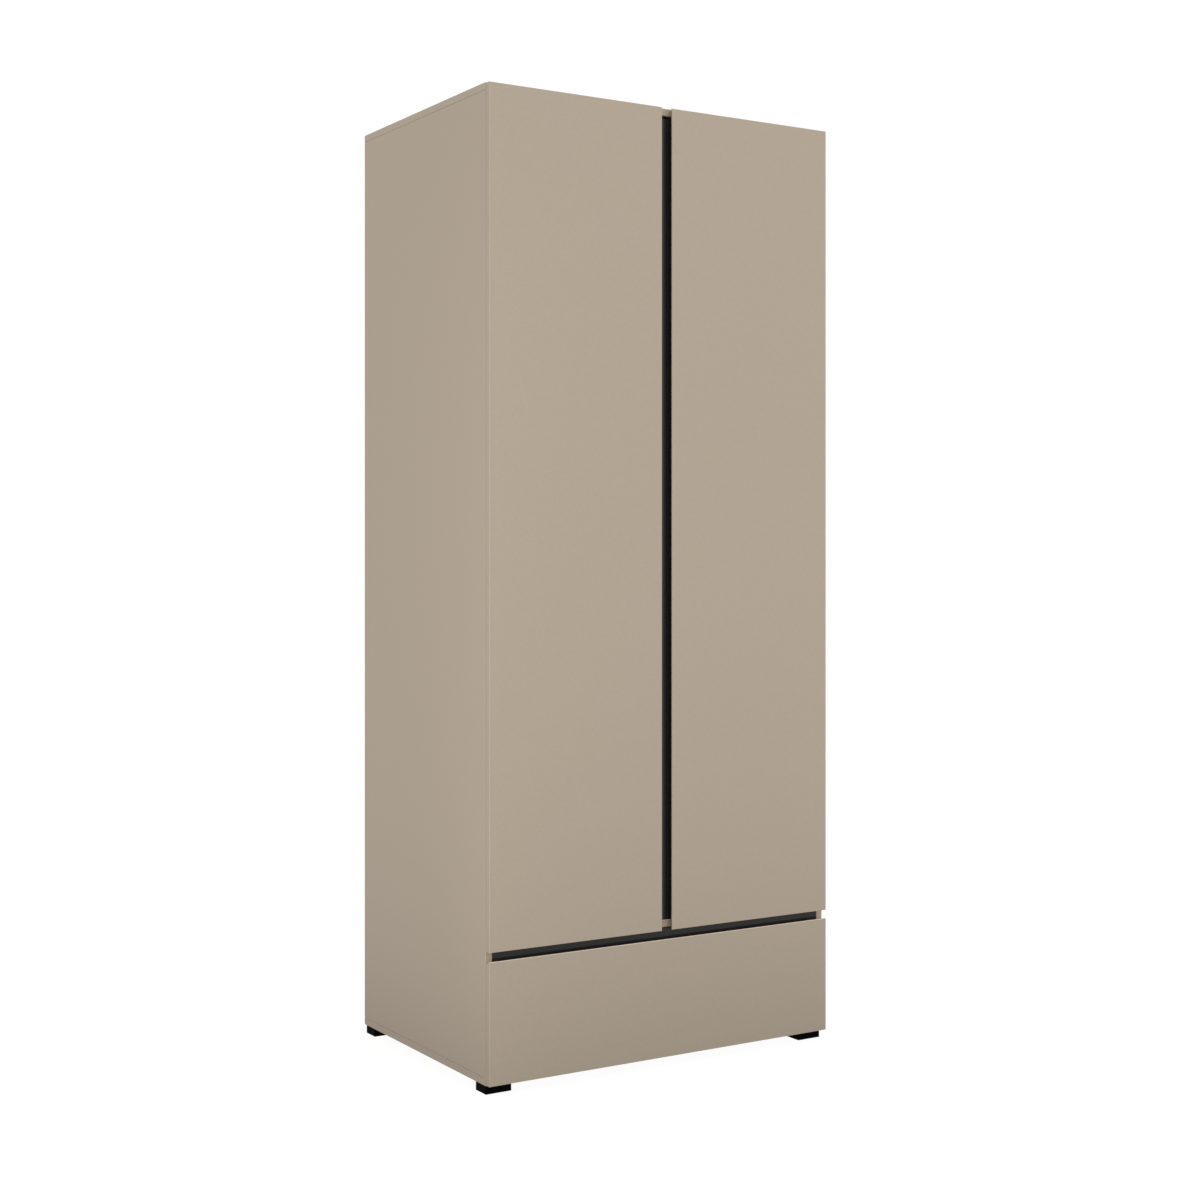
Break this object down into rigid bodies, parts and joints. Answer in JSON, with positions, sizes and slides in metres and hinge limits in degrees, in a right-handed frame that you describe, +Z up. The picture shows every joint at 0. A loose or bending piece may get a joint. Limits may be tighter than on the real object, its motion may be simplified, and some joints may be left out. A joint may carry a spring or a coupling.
{
  "type": "wardrobe",
  "caption": "Tall free-standing wardrobe with flat handleless hinged doors over a full-width drawer, dark finger-gap strips and low block feet.",
  "frame": {"origin": "on the floor under the middle of the wardrobe's box", "axes": "+Z up, +X to the right as seen from the front, the doors and drawer face -Y"},
  "size_m": [0.9, 0.623, 2.137],
  "materials": {
    "taupe_laminate": "super-matt taupe laminate on particle board",
    "black_laminate": "satin black laminate",
    "hardboard": "painted hardboard",
    "white_plastic": "extruded joining strip",
    "black_plastic": "moulded black",
    "chrome_tube": "polished tube",
    "holder_metal": "plated casting",
    "clear_bumper": "soft clear",
    "beech": "fluted beech",
    "zinc_casting": "die-cast zinc",
    "plated_steel": "nickel-plated pressed steel",
    "runner_steel": "zinc-plated rolled steel",
    "screw_steel": "zinc-plated"
  },
  "bodies": {
    "carcass": {"side_panel_left": "taupe_laminate", "side_panel_right": "taupe_laminate", "top_panel": "taupe_laminate", "bottom_panel": "taupe_laminate", "fixed_shelf": "taupe_laminate", "centre_partition": "taupe_laminate", "vertical_handle_strip": "black_laminate", "horizontal_handle_strip": "black_laminate", "back_panel_left": "hardboard", "back_panel_right": "hardboard", "back_joining_profile": "white_plastic", "shelf_1": "taupe_laminate", "shelf_2": "taupe_laminate", "shelf_3": "taupe_laminate", "shelf_4": "taupe_laminate", "hat_shelf": "taupe_laminate", "shelf_pins": "screw_steel", "hanging_rail": "chrome_tube", "rail_holder_left": "holder_metal", "rail_holder_right": "holder_metal", "left_hinge_plates": "plated_steel", "right_hinge_plates": "plated_steel", "left_hinge_arms": "plated_steel", "right_hinge_arms": "plated_steel", "hinge_plate_screws": "screw_steel", "runner_rail_left": "runner_steel", "runner_rail_right": "runner_steel", "runner_rail_screws": "screw_steel", "foot_front_left": "black_plastic", "foot_front_right": "black_plastic", "foot_rear_left": "black_plastic", "foot_rear_right": "black_plastic", "foot_screws": "screw_steel", "cam_locks": "zinc_casting", "cam_bolts": "screw_steel", "dowels": "beech", "wall_brackets": "plated_steel", "bracket_screws": "screw_steel"},
    "left_door": {"left_door_panel": "taupe_laminate", "left_hinge_cups": "plated_steel", "left_cup_screws": "screw_steel", "left_door_bumpers": "clear_bumper"},
    "right_door": {"right_door_panel": "taupe_laminate", "right_hinge_cups": "plated_steel", "right_cup_screws": "screw_steel", "right_door_bumpers": "clear_bumper"},
    "drawer": {"drawer_front": "taupe_laminate", "drawer_side_left": "taupe_laminate", "drawer_side_right": "taupe_laminate", "drawer_back": "taupe_laminate", "drawer_inner_front": "taupe_laminate", "drawer_bottom": "hardboard", "drawer_runner_left": "runner_steel", "drawer_runner_right": "runner_steel", "drawer_box_screws": "screw_steel", "drawer_front_screws": "screw_steel", "drawer_runner_screws": "screw_steel", "drawer_bumpers": "clear_bumper"},
    "runner_slides": {"runner_slide_left": "runner_steel", "runner_slide_right": "runner_steel"}
  },
  "joints": [
    {"name": "left_door_hinge", "type": "hinge", "parent": "carcass", "child": "left_door", "pos_m": [-0.4455, -0.305, 1.2], "axis": [0, 0, -1], "range_deg": [0, 110]},
    {"name": "right_door_hinge", "type": "hinge", "parent": "carcass", "child": "right_door", "pos_m": [0.4455, -0.305, 1.2], "axis": [0, 0, 1], "range_deg": [0, 110]},
    {"name": "drawer_slide", "type": "slide", "parent": "carcass", "child": "drawer", "axis": [0, -1, 0], "range_m": [0, 0.5]},
    {"name": "runner_slide", "type": "slide", "parent": "carcass", "child": "runner_slides", "axis": [0, -1, 0], "range_m": [0, 0.25]}
  ],
  "couplings": [
    {"joint": "runner_slide", "follows": "drawer_slide", "ratio": 0.5}
  ]
}
